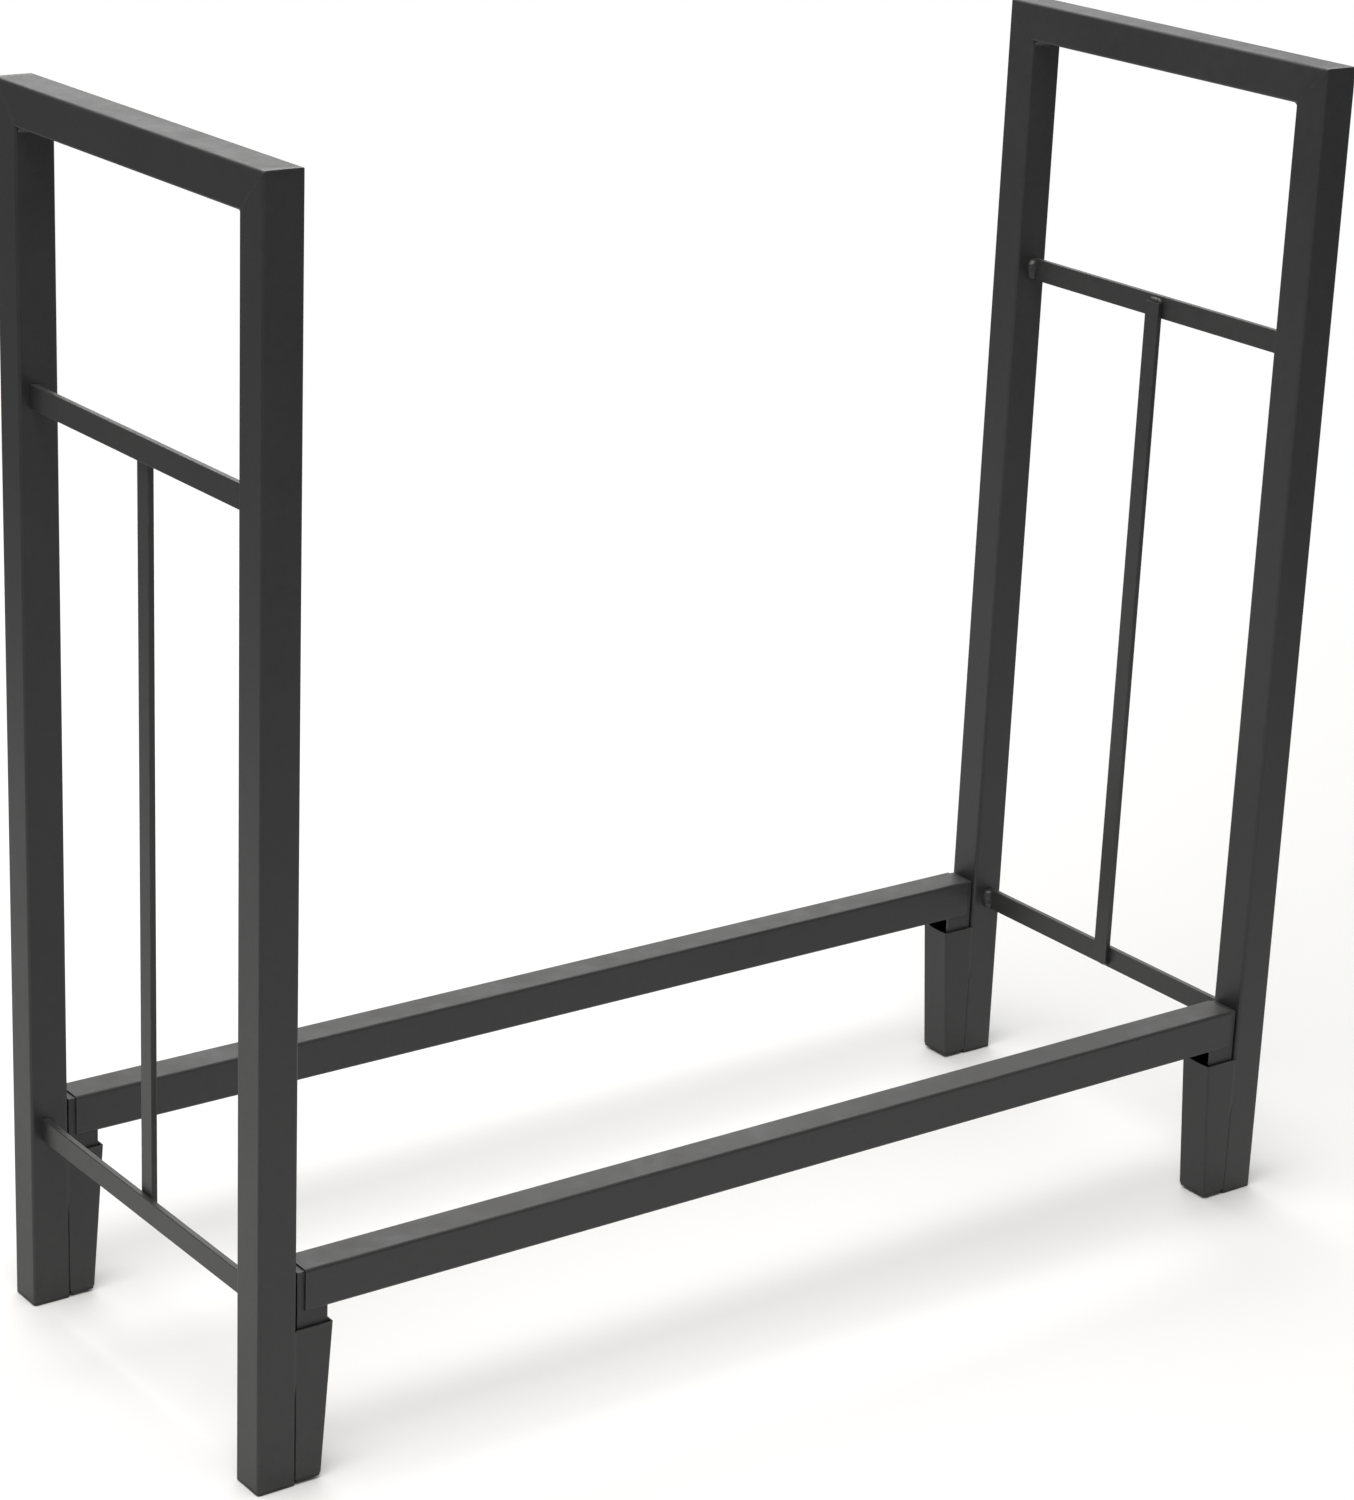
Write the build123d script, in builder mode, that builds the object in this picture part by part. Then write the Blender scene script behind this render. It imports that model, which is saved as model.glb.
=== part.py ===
"""Firewood log rack: two welded end frames joined by two long rails.

Frame: +X along the rack's length, -Y is the front, +Z up. The origin is on the floor,
under the middle of the rack. Everything is in millimetres.
"""

import os

from build123d import *

# Driving dimensions
rack_width = 791.0
rack_depth = 303.0
rack_height = 775.0

tube_size = 25.4          # square tube of the posts and the top rails
tube_wall = 1.2
tube_radius = 2.0         # outer corner radius

rail_depth = 23.8         # rectangular tube of the two long rails
rail_height = 26.6
rail_top = 137.6

bar_width = 15.0          # flat bar of the crossbars
centre_bar_width = 12.8
bar_thickness = 4.0
bar_edge_radius = 0.6
bar_inset = 7.4           # outer face of a crossbar, from the frame's outer face
upper_bar_top = 598.6
lower_bar_top = 128.7
centre_bar_top_gap = 4.0      # end of the centre bar below the upper crossbar's top edge
centre_bar_bottom_gap = 3.5   # and above the lower crossbar's bottom edge

socket_top = 100.5        # tapered socket welded to the inner side of each leg
socket_bottom = 4.0
socket_length_top = 24.8
socket_length_bottom = 17.6
socket_wall = 1.2
socket_radius = 1.6

shoe_gap = 1.5            # between a shoe and the post's inner face
shoe_plate = 4.8          # thickness of the part that closes the rail's end
shoe_drop = 1.0           # its top below the top of the rail
shoe_depth = 21.0
shoe_block_length = 21.8  # reach of the channel under the rail, from the post's face
shoe_wall = 1.5
tongue_depth = 38.0       # how far the tongue drops into the socket
toe_height = 12.0         # the toe is the part of the tongue that bears on the post
toe_lead = 4.0

foot_flange = 2.5         # plastic plug in the end of each post
foot_edge_radius = 1.2
plug_depth = 16.0
plug_wall = 1.5
plug_clearance = 0.1
fin_thickness = 1.2
fin_height = 0.8
fin_count = 4

socket_plug_bottom = 1.5  # plastic plug under each socket, just clear of the floor
socket_plug_inset = 0.4
socket_plug_depth = 10.0

end_bead_radius = 5.0     # weld at each crossbar end
lap_bead_radius = 3.0     # weld at each end of the centre bar
corner_leg = 3.0          # weld in the inner corner of each mitre

# Derived values
half_width = rack_width / 2
half_depth = rack_depth / 2
half_tube = tube_size / 2
post_x = half_width - half_tube
post_y = half_depth - half_tube
inner_x = half_width - tube_size          # inner face of the end frames
inner_y = half_depth - tube_size          # faces of the posts that face each other
window_depth = 2 * inner_y

rail_bottom = rail_top - rail_height
rail_end_x = inner_x - shoe_gap - shoe_plate
bar_outer_x = half_width - bar_inset
bar_inner_x = bar_outer_x - bar_thickness
lower_bar_bottom = lower_bar_top - bar_width
centre_bar_top = upper_bar_top - centre_bar_top_gap
centre_bar_bottom = lower_bar_bottom + centre_bar_bottom_gap

socket_taper = (socket_length_top - socket_length_bottom) / (socket_top - socket_bottom)
tongue_bottom = socket_top - tongue_depth

SIDES = {"left": -1, "right": 1}
ENDS = {"front": -1, "rear": 1}


def save(builder, name):
    """Label a finished piece and write it as parts/NAME.step."""
    builder.part.label = name
    export_step(builder.part, f"parts/{name}.step")


def side_profile(side, y=0.0):
    """Vertical sketch plane at y, looking along -Y: its x runs from a post's inner face
    towards the middle of the rack, its y is the height."""
    return Plane(origin=(side * inner_x, y, 0), x_dir=(-side, 0, 0), z_dir=(0, side, 0))


def socket_inner(height):
    """Distance from the post's face to the inside of the socket's sloping wall."""
    return socket_length_top - socket_wall - socket_taper * (socket_top - height)


def mitre_plane(end):
    """45 degree cut through a top corner of an end frame; its normal faces the top rail."""
    return Plane(origin=(0, end * half_depth, rack_height), x_dir=(1, 0, 0), z_dir=(0, -end, 1))


def tube_section(width, height):
    """Hollow section with rounded corners, for use inside a BuildSketch."""
    RectangleRounded(width, height, tube_radius)
    RectangleRounded(
        width - 2 * tube_wall, height - 2 * tube_wall, tube_radius - tube_wall, mode=Mode.SUBTRACT
    )


def make_post(side, end):
    """Leg of an end frame: square tube from the foot plug to the mitre at the top."""
    with BuildPart() as post:
        with BuildSketch(Plane.XY.offset(foot_flange)):
            with Locations((side * post_x, end * post_y)):
                tube_section(tube_size, tube_size)
        extrude(amount=rack_height - foot_flange)
        split(bisect_by=mitre_plane(end), keep=Keep.BOTTOM)
    return post


def make_top_rail(side):
    """Top of an end frame: square tube, mitred to a post at both ends."""
    start = Plane(
        origin=(side * post_x, -half_depth, rack_height - half_tube),
        x_dir=(1, 0, 0),
        z_dir=(0, 1, 0),
    )
    with BuildPart() as rail:
        with BuildSketch(start):
            tube_section(tube_size, tube_size)
        extrude(amount=rack_depth)
        for end in ENDS.values():
            split(bisect_by=mitre_plane(end), keep=Keep.TOP)
    return rail


def make_crossbar(side, top):
    """Flat bar on edge between the two posts of an end frame."""
    centre = (side * (bar_outer_x + bar_inner_x) / 2, 0, top - bar_width / 2)
    with BuildPart() as bar:
        with Locations(centre):
            Box(bar_thickness, window_depth, bar_width)
        fillet(bar.edges().filter_by(Axis.Y), bar_edge_radius)
    return bar


def make_centre_bar(side):
    """Upright flat bar, lapped on the log side of both crossbars."""
    length = centre_bar_top - centre_bar_bottom
    centre = (side * (bar_inner_x - bar_thickness / 2), 0, centre_bar_bottom + length / 2)
    with BuildPart() as bar:
        with Locations(centre):
            Box(bar_thickness, centre_bar_width, length)
        fillet(bar.edges().filter_by(Axis.Z), bar_edge_radius)
    return bar


def make_socket(side, end):
    """Tapered channel of folded sheet on the inner side of a leg, closed by the post."""
    with BuildPart() as socket:
        with BuildSketch(side_profile(side, end * post_y)):
            with BuildLine():
                Polyline(
                    (0, socket_bottom),
                    (socket_length_bottom, socket_bottom),
                    (socket_length_top, socket_top),
                    (0, socket_top),
                    close=True,
                )
            make_face()
        extrude(amount=half_tube, both=True)
        sloping = socket.faces().sort_by(Axis.X)[0 if side > 0 else -1]
        fillet(sloping.edges().filter_by(Axis.Y, reverse=True), socket_radius)
        with BuildSketch(side_profile(side, end * post_y)):
            with BuildLine():
                Polyline(
                    (0, socket_bottom),
                    (socket_inner(socket_bottom), socket_bottom),
                    (socket_inner(socket_top), socket_top),
                    (0, socket_top),
                    close=True,
                )
            make_face()
        extrude(amount=half_tube - socket_wall, both=True, mode=Mode.SUBTRACT)
    return socket


def make_shoe(side, end):
    """L-shaped shoe: a plate closes the rail's end, and below it hangs a channel of sheet, open
    towards the middle of the rack and at the bottom, whose tongue wedges in the socket."""
    wall_meets_block = socket_top - (socket_inner(socket_top) - shoe_block_length) / socket_taper
    rail_end = shoe_gap + shoe_plate
    toe_top = tongue_bottom + toe_height
    outline = [
        (shoe_gap, rail_top - shoe_drop),
        (rail_end, rail_top - shoe_drop),
        (rail_end, rail_bottom),
        (shoe_block_length, rail_bottom),
        (shoe_block_length, wall_meets_block),
        (socket_inner(tongue_bottom), tongue_bottom),
        (0, tongue_bottom),
        (0, toe_top),
        (shoe_gap, toe_top + toe_lead),
    ]
    hollow = [
        (shoe_gap + shoe_wall, tongue_bottom),
        (socket_length_top, tongue_bottom),
        (socket_length_top, rail_bottom - shoe_wall),
        (shoe_gap + shoe_wall, rail_bottom - shoe_wall),
    ]
    plane = side_profile(side, end * post_y)
    with BuildPart() as shoe:
        with BuildSketch(plane):
            with BuildLine():
                Polyline(*outline, close=True)
            make_face()
        extrude(amount=shoe_depth / 2, both=True)
        with BuildSketch(plane):
            with BuildLine():
                Polyline(*hollow, close=True)
            make_face()
        extrude(amount=shoe_depth / 2 - shoe_wall, both=True, mode=Mode.SUBTRACT)
    return shoe


def make_rail(end):
    """Long rail: rectangular tube between the shoes, on which the logs lie."""
    start = Plane(
        origin=(-rail_end_x, end * post_y, rail_top - rail_height / 2),
        x_dir=(0, 1, 0),
        z_dir=(1, 0, 0),
    )
    with BuildPart() as rail:
        with BuildSketch(start):
            tube_section(rail_depth, rail_height)
        extrude(amount=2 * rail_end_x)
    return rail


def make_foot_plug(side, end):
    """Ribbed plastic insert with a flange that the post stands on."""
    bore = tube_size - 2 * tube_wall - 2 * plug_clearance
    core = bore - 2 * fin_height
    place = (side * post_x, end * post_y)
    with BuildPart() as plug:
        with BuildSketch():
            with Locations(place):
                RectangleRounded(tube_size, tube_size, tube_radius)
        extrude(amount=foot_flange)
        fillet(plug.faces().sort_by(Axis.Z)[0].edges(), foot_edge_radius)
        with BuildSketch(Plane.XY.offset(foot_flange)):
            with Locations(place):
                Rectangle(core, core)
        extrude(amount=plug_depth)
        fin_pitch = plug_depth / fin_count
        for index in range(fin_count):
            with BuildSketch(Plane.XY.offset(foot_flange + (index + 0.5) * fin_pitch)):
                with Locations(place):
                    RectangleRounded(bore, bore, tube_radius - tube_wall)
            extrude(amount=fin_thickness)
        with BuildSketch(Plane.XY.offset(foot_flange)):
            with Locations(place):
                Rectangle(core - 2 * plug_wall, core - 2 * plug_wall)
        extrude(amount=plug_depth, mode=Mode.SUBTRACT)
    return plug


def make_socket_plug(side, end):
    """Plastic insert that closes the bottom of a socket."""
    flange_length = socket_length_bottom - 2 * socket_plug_inset
    flange_depth = tube_size - 2 * socket_plug_inset
    spigot_length = socket_inner(socket_bottom) - 2 * plug_clearance
    spigot_depth = tube_size - 2 * socket_wall - 2 * plug_clearance
    flange_x = side * (inner_x - socket_length_bottom / 2)
    spigot_x = side * (inner_x - socket_inner(socket_bottom) / 2)
    with BuildPart() as plug:
        with BuildSketch(Plane.XY.offset(socket_plug_bottom)):
            with Locations((flange_x, end * post_y)):
                RectangleRounded(flange_length, flange_depth, socket_radius)
        extrude(amount=socket_bottom - socket_plug_bottom)
        fillet(plug.faces().sort_by(Axis.Z)[0].edges(), foot_edge_radius)
        with BuildSketch(Plane.XY.offset(socket_bottom)):
            with Locations((spigot_x, end * post_y)):
                Rectangle(spigot_length, spigot_depth)
                Rectangle(
                    spigot_length - 2 * plug_wall, spigot_depth - 2 * plug_wall, mode=Mode.SUBTRACT
                )
        extrude(amount=socket_plug_depth)
    return plug


def make_bead(corner, run, length, radius, open_sides):
    """Quarter-round bead with domed ends, centred on an inside corner and along `run`.
    It is kept on the open side of the two faces that meet in that corner."""
    straight = length - 2 * radius
    with BuildPart() as bead:
        with Locations(Plane(origin=corner, z_dir=run)):
            Cylinder(radius, straight)
            with Locations((0, 0, straight / 2), (0, 0, -straight / 2)):
                Sphere(radius)
        for normal in open_sides:
            split(bisect_by=Plane(origin=corner, z_dir=normal), keep=Keep.TOP)
    return bead


def make_corner_weld(side, end):
    """Hollow-faced weld in the inner corner between a post and the top rail."""
    plane = Plane(
        origin=(side * post_x, end * inner_y, rack_height - tube_size),
        x_dir=(0, -end, 0),
        z_dir=(end, 0, 0),
    )
    with BuildPart() as weld:
        with BuildSketch(plane):
            with BuildLine():
                Polyline((corner_leg, 0), (0, 0), (0, corner_leg))
                RadiusArc((0, corner_leg), (corner_leg, 0), -corner_leg)
            make_face()
        extrude(amount=half_tube - tube_radius, both=True)
    return weld


def make_frame_welds(side):
    """All the visible welds of one end frame, as separate solids of one group."""
    log_side = (-side, 0, 0)
    beads = []
    for end in ENDS.values():
        beads.append(make_corner_weld(side, end))
        for top in (upper_bar_top, lower_bar_top):
            corner = (side * bar_inner_x, end * inner_y, top - bar_width / 2)
            facing = (0, -end, 0)
            beads.append(make_bead(corner, (0, 0, 1), bar_width, end_bead_radius, (log_side, facing)))
    for height, upward in ((centre_bar_top, 1), (centre_bar_bottom, -1)):
        corner = (side * bar_inner_x, 0, height)
        facing = (0, 0, upward)
        beads.append(
            make_bead(corner, (0, 1, 0), centre_bar_width, lap_bead_radius, (log_side, facing))
        )
    with BuildPart() as welds:
        for bead in beads:
            add(bead.part)
    return welds


os.makedirs("parts", exist_ok=True)

for side_name, side in SIDES.items():
    save(make_top_rail(side), f"{side_name}_top_rail")
    save(make_crossbar(side, upper_bar_top), f"{side_name}_upper_crossbar")
    save(make_crossbar(side, lower_bar_top), f"{side_name}_lower_crossbar")
    save(make_centre_bar(side), f"{side_name}_centre_bar")
    save(make_frame_welds(side), f"{side_name}_frame_welds")
    for end_name, end in ENDS.items():
        leg = f"{side_name}_{end_name}"
        save(make_post(side, end), f"{leg}_post")
        save(make_socket(side, end), f"{leg}_socket")
        save(make_shoe(side, end), f"{leg}_rail_shoe")
        save(make_foot_plug(side, end), f"{leg}_foot_plug")
        save(make_socket_plug(side, end), f"{leg}_socket_plug")

for end_name, end in ENDS.items():
    save(make_rail(end), f"{end_name}_rail")
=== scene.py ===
# %% [markdown]
# # A firewood log rack, coated and finished
# The real rack is two welded end frames of square steel tube, joined by two long rails that the
# logs lie on. Every tube, bar, socket and plug is already there in the imported CAD model, in metres,
# with the floor at z = 0 and the front of the rack towards -Y. This lesson dresses that model: it
# keeps the steel parts as they are, puts hand-laid weld beads and moulded plugs in place of the
# plain ones, and gives every surface its finish.
#
# We load the frame first. The finished rack must not outgrow it.

# %% Load the frame
import math

import bmesh
import bpy
from mathutils import Matrix, Vector, noise


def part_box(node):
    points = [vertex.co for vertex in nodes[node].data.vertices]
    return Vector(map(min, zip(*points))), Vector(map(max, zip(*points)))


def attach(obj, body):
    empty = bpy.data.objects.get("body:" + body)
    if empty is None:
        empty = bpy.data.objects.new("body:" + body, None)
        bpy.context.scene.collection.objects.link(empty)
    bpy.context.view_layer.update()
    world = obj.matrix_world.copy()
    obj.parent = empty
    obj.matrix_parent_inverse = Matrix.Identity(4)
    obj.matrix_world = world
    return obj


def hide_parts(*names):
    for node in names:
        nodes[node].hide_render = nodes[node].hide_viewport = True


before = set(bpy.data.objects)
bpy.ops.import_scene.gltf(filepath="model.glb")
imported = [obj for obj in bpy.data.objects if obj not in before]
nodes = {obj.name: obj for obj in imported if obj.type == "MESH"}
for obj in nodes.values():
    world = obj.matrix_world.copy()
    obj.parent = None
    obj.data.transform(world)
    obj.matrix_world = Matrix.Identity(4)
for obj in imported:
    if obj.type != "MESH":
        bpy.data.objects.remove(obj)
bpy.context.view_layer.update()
MM = 0.001

# %% [markdown]
# ## Where things are
# A maker reads positions off the drawing, so we read them off the CAD nodes: the posts give the
# tube size and the outline, the crossbars give the faces that the welds sit against. Nothing is
# typed in twice, and a change in the CAD moves the welds with it.

# %% Read the main sizes off the nodes
SIDES = {"left": -1, "right": 1}
ENDS = {"front": -1, "rear": 1}

post_low, post_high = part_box("right_rear_post")
tube = post_high.x - post_low.x
half_width, half_depth, rack_height = post_high.x, post_high.y, post_high.z
inner_x, inner_y = half_width - tube, half_depth - tube
bar_low, bar_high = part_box("right_upper_crossbar")
bar_face_x = bar_low.x
bar_width = bar_high.z - bar_low.z
print(f"tube {tube / MM:.1f} mm, rack {2 * half_width / MM:.0f} x {2 * half_depth / MM:.0f} mm")

# %% [markdown]
# ## The camera
# The rack is seen from the front left, from about chest height, with a long lens so that
# the uprights stay nearly parallel. The camera leans over by two degrees, as a hand-held one does.
# Depth of field stays off, and there is no shift, so the other views need no correction.

# %% Camera
EYE = Vector((-1.4177, -1.8893, 1.1758))
VIEW_DIRECTION = Vector((0.56571, 0.75460, -0.33250))
LEAN = math.radians(2.385)
FOCAL_LENGTH = 94.53

camera_data = bpy.data.cameras.new("studio_camera")
camera_data.lens = FOCAL_LENGTH
camera_data.sensor_width = 36.0
camera_data.clip_end = 50.0
camera = bpy.data.objects.new("studio_camera", camera_data)
bpy.context.scene.collection.objects.link(camera)
aim = VIEW_DIRECTION.to_track_quat("-Z", "Y").to_matrix().to_4x4()
camera.matrix_world = Matrix.Translation(EYE) @ aim @ Matrix.Rotation(LEAN, 4, "Z")
bpy.context.scene.camera = camera
print("camera at", tuple(round(c, 3) for c in EYE), "lens", FOCAL_LENGTH, "mm")

# %% [markdown]
# ## Floor and light
# Dark satin steel shows only what it mirrors, so the light matters more than the paint. A white
# room would be one way, but then every face of a tube gets the same grey. Instead the room is
# bright only for the camera, a large soft box hangs over the left of the rack, and a low one lies
# on the left near the floor, so the left-hand faces grow lighter towards their feet. The floor is
# one pale plane with no pattern. It fades out a good step away from the rack, so from any side the
# rack stands on white with its own soft shadow and no horizon. A panel high behind the rack is what
# the upper faces mirror.

# %% Floor
FLOOR_SIZE = 7.0
FLOOR_SOLID = 0.9      # metres from the middle of the rack to where the floor starts to fade
FLOOR_GONE = 2.2


def fading_paper():
    """Matt pale paper that turns clear with the distance from the middle of the floor."""
    paper = bpy.data.materials.new("studio_paper")
    paper.use_nodes = True
    tree = paper.node_tree
    shader = tree.nodes["Principled BSDF"]
    shader.inputs["Base Color"].default_value = (0.80, 0.80, 0.80, 1)
    shader.inputs["Roughness"].default_value = 0.9
    shader.inputs["Specular IOR Level"].default_value = 0.1
    place = tree.nodes.new("ShaderNodeTexCoord")
    distance = tree.nodes.new("ShaderNodeVectorMath")
    distance.operation = "LENGTH"
    fade = tree.nodes.new("ShaderNodeMapRange")
    fade.interpolation_type = "SMOOTHSTEP"
    fade.inputs["From Min"].default_value = FLOOR_SOLID
    fade.inputs["From Max"].default_value = FLOOR_GONE
    clear, mixed = tree.nodes.new("ShaderNodeBsdfTransparent"), tree.nodes.new("ShaderNodeMixShader")
    tree.links.new(place.outputs["Object"], distance.inputs[0])
    tree.links.new(distance.outputs["Value"], fade.inputs["Value"])
    tree.links.new(fade.outputs[0], mixed.inputs[0])
    tree.links.new(shader.outputs[0], mixed.inputs[1])
    tree.links.new(clear.outputs[0], mixed.inputs[2])
    tree.links.new(mixed.outputs[0], tree.nodes["Material Output"].inputs["Surface"])
    return paper


def make_floor():
    bm = bmesh.new()
    bmesh.ops.create_grid(bm, x_segments=1, y_segments=1, size=FLOOR_SIZE / 2)
    mesh = bpy.data.meshes.new("studio_floor")
    bm.to_mesh(mesh)
    bm.free()
    mesh.materials.append(fading_paper())
    floor = bpy.data.objects.new("studio_floor", mesh)
    bpy.context.scene.collection.objects.link(floor)


make_floor()
print("floor fades out between", FLOOR_SOLID, "and", FLOOR_GONE, "m")

# %% Room and soft boxes
ROOM_BRIGHTNESS = 0.28
BACKDROP_BRIGHTNESS = 1.0


def make_room():
    """A dim even room for the light, which the camera itself sees as white."""
    world = bpy.data.worlds.new("studio_room")
    bpy.context.scene.world = world
    world.use_nodes = True
    tree = world.node_tree
    tree.nodes.clear()
    out = tree.nodes.new("ShaderNodeOutputWorld")
    lit, seen = tree.nodes.new("ShaderNodeBackground"), tree.nodes.new("ShaderNodeBackground")
    lit.inputs["Strength"].default_value = ROOM_BRIGHTNESS
    seen.inputs["Strength"].default_value = BACKDROP_BRIGHTNESS
    for background in (lit, seen):
        background.inputs["Color"].default_value = (1, 1, 1, 1)
    choose, path = tree.nodes.new("ShaderNodeMixShader"), tree.nodes.new("ShaderNodeLightPath")
    tree.links.new(path.outputs["Is Camera Ray"], choose.inputs[0])
    tree.links.new(lit.outputs[0], choose.inputs[1])
    tree.links.new(seen.outputs[0], choose.inputs[2])
    tree.links.new(choose.outputs[0], out.inputs["Surface"])


def soft_box(name, place, target, size, power, colour=(1, 1, 1)):
    """A rectangular area light at place that shines towards target."""
    data = bpy.data.lights.new(name, "AREA")
    data.shape = "RECTANGLE"
    data.size, data.size_y = size
    data.energy = power
    data.color = colour
    lamp = bpy.data.objects.new(name, data)
    bpy.context.scene.collection.objects.link(lamp)
    turn = (Vector(target) - Vector(place)).to_track_quat("-Z", "Y").to_matrix().to_4x4()
    lamp.matrix_world = Matrix.Translation(place) @ turn
    print(f"{name}: {power} W at {tuple(place)}")


make_room()
soft_box("overhead_soft_box", (-0.95, -0.45, 2.9), (-0.75, -0.35, 0.0), (2.2, 2.2), 100,
         (1.0, 0.985, 0.96))
soft_box("backdrop_wash", (2.6, 4.4, 2.8), (2.6, 4.4, 0.0), (6.0, 5.0), 300)
soft_box("left_soft_box", (-2.6, -1.0, 0.9), (0.0, 0.0, 0.3), (1.6, 1.4), 2.2)
bpy.context.scene.view_settings.view_transform = "Standard"

# %% [markdown]
# ## Finishes: the pieces of a powder coat
# The steel is powder coated in a charcoal that is nearly black. Sprayed powder melts and flows, and
# it leaves three things that the eye reads as powder coat and not as plastic: a very shallow
# orange-peel swell a millimetre or two across, a much finer grain on top of it, and a slow drift in
# tone where the film is thicker or thinner. All of them come from noise in Object coordinates,
# which are real metres here, so the swell has the same size on a post and on a small bracket.
#
# Several finishes share these effects, so each effect is a node group with named sockets. The
# shader itself stays in the material.

# %% Helpers for node trees
def new_group(name, inputs, outputs):
    """An empty node group. inputs: name -> (kind, default); outputs: name -> kind."""
    tree = bpy.data.node_groups.new(name, "ShaderNodeTree")
    for socket_name, (kind, value) in inputs.items():
        socket = tree.interface.new_socket(socket_name, in_out="INPUT", socket_type=kind)
        if value is not None:
            socket.default_value = value
    for socket_name, kind in outputs.items():
        tree.interface.new_socket(socket_name, in_out="OUTPUT", socket_type=kind)
    return tree, tree.nodes.new("NodeGroupInput"), tree.nodes.new("NodeGroupOutput")


def fill(tree, socket, value):
    """Link value to socket if it is another socket, or else set it as the socket's number."""
    if isinstance(value, bpy.types.NodeSocket):
        tree.links.new(value, socket)
    else:
        socket.default_value = value


def math_node(tree, operation, first, second=None, third=None, clamp=False):
    node = tree.nodes.new("ShaderNodeMath")
    node.operation, node.use_clamp = operation, clamp
    for socket, value in zip(node.inputs, (first, second, third)):
        if value is not None:
            fill(tree, socket, value)
    return node.outputs[0]


def noise_node(tree, place, scale, detail=2.0, roughness=0.5, distortion=0.0):
    node = tree.nodes.new("ShaderNodeTexNoise")
    for name, value in (("Vector", place), ("Scale", scale), ("Detail", detail),
                        ("Roughness", roughness), ("Distortion", distortion)):
        fill(tree, node.inputs[name], value)
    return node.outputs["Fac"]


def range_node(tree, value, low, high, to_low=0.0, to_high=1.0, smooth=False):
    """Stretch value from low..high to to_low..to_high, clamped."""
    node = tree.nodes.new("ShaderNodeMapRange")
    node.interpolation_type = "SMOOTHSTEP" if smooth else "LINEAR"
    for name, v in (("Value", value), ("From Min", low), ("From Max", high),
                    ("To Min", to_low), ("To Max", to_high)):
        fill(tree, node.inputs[name], v)
    return node.outputs[0]


def blend_colours(tree, factor, first, second):
    node = tree.nodes.new("ShaderNodeMix")
    node.data_type = "RGBA"
    fill(tree, node.inputs["Factor"], factor)
    for name, value in (("A", first), ("B", second)):
        socket = next(s for s in node.inputs if s.name == name and s.type == "RGBA")
        fill(tree, socket, value)
    return next(s for s in node.outputs if s.type == "RGBA")


FLOAT, VECTOR = "NodeSocketFloat", "NodeSocketVector"
print("node helpers ready")

# %% [markdown]
# ### Coat skin
# This group gives the surface of the film. Peel is the wide shallow swell and grain the fine
# tooth, and they are added up as one height. Drift is the slow change of tone, and nibs are the
# few specks of dust under the film that any sprayed coat has.

# %% Group: coat skin
def make_coat_skin():
    tree, given, out = new_group(
        "coat_skin",
        {"Place": (VECTOR, None), "Peel per metre": (FLOAT, 520.0), "Grain per metre": (FLOAT, 2600.0),
         "Grain share": (FLOAT, 0.35)},
        {"Height": FLOAT, "Drift": FLOAT},
    )
    place = given.outputs["Place"]
    peel = noise_node(tree, place, given.outputs["Peel per metre"], 1.0, 0.4)
    grain = noise_node(tree, place, given.outputs["Grain per metre"], 2.0, 0.6)
    nib_field = noise_node(tree, place, 900.0, 0.0)
    nibs = range_node(tree, nib_field, 0.80, 0.86, smooth=True)
    height = math_node(tree, "MULTIPLY_ADD", grain, given.outputs["Grain share"], peel)
    tree.links.new(math_node(tree, "MULTIPLY_ADD", nibs, 0.8, height), out.inputs["Height"])
    wide = noise_node(tree, place, 9.0, 3.0, 0.55, 0.4)
    close = noise_node(tree, place, 140.0, 2.0, 0.6)
    tree.links.new(math_node(tree, "MULTIPLY_ADD", close, 0.35, math_node(tree, "MULTIPLY", wide, 0.65)),
                   out.inputs["Drift"])
    return tree


coat_skin = make_coat_skin()
print("coat_skin:", len(coat_skin.nodes), "nodes")

# %% [markdown]
# ### Edge sheen and wear
# Powder draws back from a sharp edge while it melts, so the edges are a little lighter than the faces;
# that lighter line is also a painted highlight along every edge. The chips are real wear, where the
# edges got knocked in transport. The Bevel node gives a normal that is rounded near edges; where it
# differs from the true one, there is an edge. Noise breaks the line up.

# %% Group: edge sheen and wear
def make_edge_sheen_and_wear():
    tree, given, out = new_group(
        "edge_sheen_and_wear",
        {"Place": (VECTOR, None), "Reach": (FLOAT, 0.0012), "Amount": (FLOAT, 0.5)},
        {"Edge": FLOAT, "Chips": FLOAT},
    )
    bevel = tree.nodes.new("ShaderNodeBevel")
    bevel.samples = 4
    tree.links.new(given.outputs["Reach"], bevel.inputs["Radius"])
    geometry = tree.nodes.new("ShaderNodeNewGeometry")
    compare = tree.nodes.new("ShaderNodeVectorMath")
    compare.operation = "DOT_PRODUCT"
    tree.links.new(bevel.outputs[0], compare.inputs[0])
    tree.links.new(geometry.outputs["Normal"], compare.inputs[1])
    bend = range_node(tree, compare.outputs["Value"], 0.995, 0.86)
    edge_breakup = noise_node(tree, given.outputs["Place"], 75.0, 4.0, 0.65)
    edge = math_node(tree, "MULTIPLY", bend, range_node(tree, edge_breakup, 0.36, 0.66))
    tree.links.new(math_node(tree, "MULTIPLY", edge, given.outputs["Amount"]), out.inputs["Edge"])
    knock = noise_node(tree, given.outputs["Place"], 210.0, 3.0, 0.7)
    chips = math_node(tree, "MULTIPLY", bend, range_node(tree, knock, 0.665, 0.70))
    tree.links.new(math_node(tree, "MULTIPLY", chips, given.outputs["Amount"]), out.inputs["Chips"])
    return tree


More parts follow.
